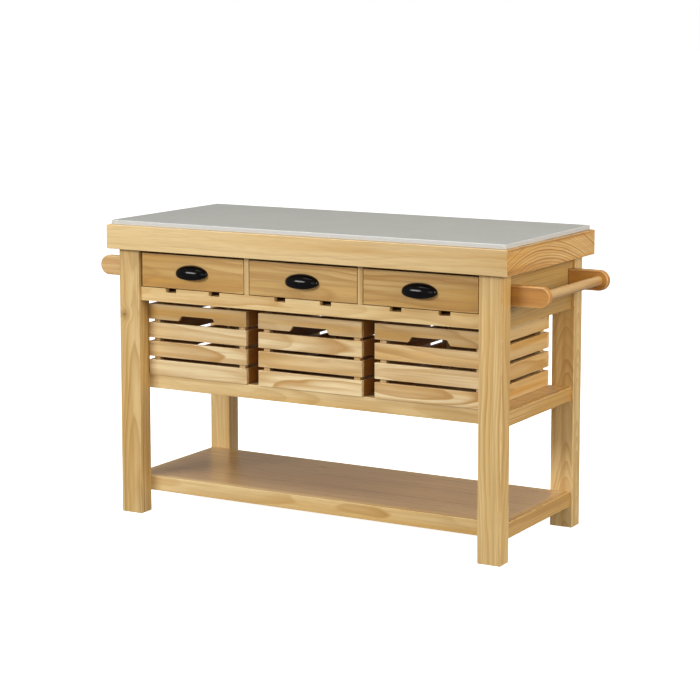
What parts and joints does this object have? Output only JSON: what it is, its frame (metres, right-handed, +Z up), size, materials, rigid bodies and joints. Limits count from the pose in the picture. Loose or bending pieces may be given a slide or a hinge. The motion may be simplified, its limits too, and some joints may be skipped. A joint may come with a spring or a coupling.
{
  "type": "kitchen island cart",
  "caption": "Stone-topped pine work table with a row of drawers, pull-out slatted crates, a bottom shelf and a towel rail at each end.",
  "frame": {"origin": "centre of the footprint, on the floor", "axes": "+X along the front from left to right as seen by a user standing in front, +Y from the front to the back, +Z up; the drawers open along -Y"},
  "size_m": [1.51, 0.6, 0.9],
  "materials": {
    "stone": "honed",
    "pine_top": "satin clear lacquer",
    "pine_frame": "satin clear lacquer",
    "pine_rail": "satin clear lacquer",
    "pine_drawer": "satin clear lacquer",
    "pine_crate": "satin clear lacquer",
    "pine_shelf": "semi-gloss clear lacquer",
    "towel_rail": "satin clear lacquer",
    "inner_wood": "matt",
    "black_enamel": "gloss black"
  },
  "bodies": {
    "stand": {"stone_slab": "stone", "sub_top_panel": "inner_wood", "top_board_front": "pine_top", "top_board_back": "pine_top", "top_board_left": "pine_top", "top_board_right": "pine_top", "leg_front_left": "pine_frame", "leg_front_right": "pine_frame", "leg_back_left": "pine_frame", "leg_back_right": "pine_frame", "apron_left": "pine_frame", "apron_right": "pine_frame", "apron_back": "pine_frame", "drawer_rail": "pine_rail", "drawer_deck": "inner_wood", "drawer_divider_left": "pine_frame", "drawer_divider_right": "pine_frame", "crate_shelf_rail_front": "pine_rail", "crate_shelf_rail_back": "pine_rail", "crate_shelf_rail_left": "pine_rail", "crate_shelf_rail_right": "pine_rail", "crate_shelf_panel": "pine_shelf", "bottom_shelf_rail_front": "pine_rail", "bottom_shelf_rail_back": "pine_rail", "bottom_shelf_rail_left": "pine_rail", "bottom_shelf_rail_right": "pine_rail", "bottom_shelf_panel": "pine_shelf", "towel_bracket_left_front": "towel_rail", "towel_bracket_left_back": "towel_rail", "towel_bar_left": "towel_rail", "towel_bracket_right_front": "towel_rail", "towel_bracket_right_back": "towel_rail", "towel_bar_right": "towel_rail"},
    "drawer_1": {"drawer_1_front": "pine_drawer", "drawer_1_side_left": "inner_wood", "drawer_1_side_right": "inner_wood", "drawer_1_back": "inner_wood", "drawer_1_bottom": "inner_wood", "drawer_1_pull": "black_enamel"},
    "drawer_2": {"drawer_2_front": "pine_drawer", "drawer_2_side_left": "inner_wood", "drawer_2_side_right": "inner_wood", "drawer_2_back": "inner_wood", "drawer_2_bottom": "inner_wood", "drawer_2_pull": "black_enamel"},
    "drawer_3": {"drawer_3_front": "pine_drawer", "drawer_3_side_left": "inner_wood", "drawer_3_side_right": "inner_wood", "drawer_3_back": "inner_wood", "drawer_3_bottom": "inner_wood", "drawer_3_pull": "black_enamel"},
    "crate_1": {"crate_1_front": "pine_crate", "crate_1_body": "pine_crate", "crate_1_base": "inner_wood"},
    "crate_2": {"crate_2_front": "pine_crate", "crate_2_body": "pine_crate", "crate_2_base": "inner_wood"},
    "crate_3": {"crate_3_front": "pine_crate", "crate_3_body": "pine_crate", "crate_3_base": "inner_wood"}
  },
  "joints": [
    {"name": "drawer_1_slide", "type": "slide", "parent": "stand", "child": "drawer_1", "axis": [0, -1, 0], "range_m": [0, 0.32]},
    {"name": "drawer_2_slide", "type": "slide", "parent": "stand", "child": "drawer_2", "axis": [0, -1, 0], "range_m": [0, 0.32]},
    {"name": "drawer_3_slide", "type": "slide", "parent": "stand", "child": "drawer_3", "axis": [0, -1, 0], "range_m": [0, 0.32]},
    {"name": "crate_1_slide", "type": "slide", "parent": "stand", "child": "crate_1", "axis": [0, -1, 0], "range_m": [0, 0.3]},
    {"name": "crate_2_slide", "type": "slide", "parent": "stand", "child": "crate_2", "axis": [0, -1, 0], "range_m": [0, 0.3]},
    {"name": "crate_3_slide", "type": "slide", "parent": "stand", "child": "crate_3", "axis": [0, -1, 0], "range_m": [0, 0.3]}
  ]
}
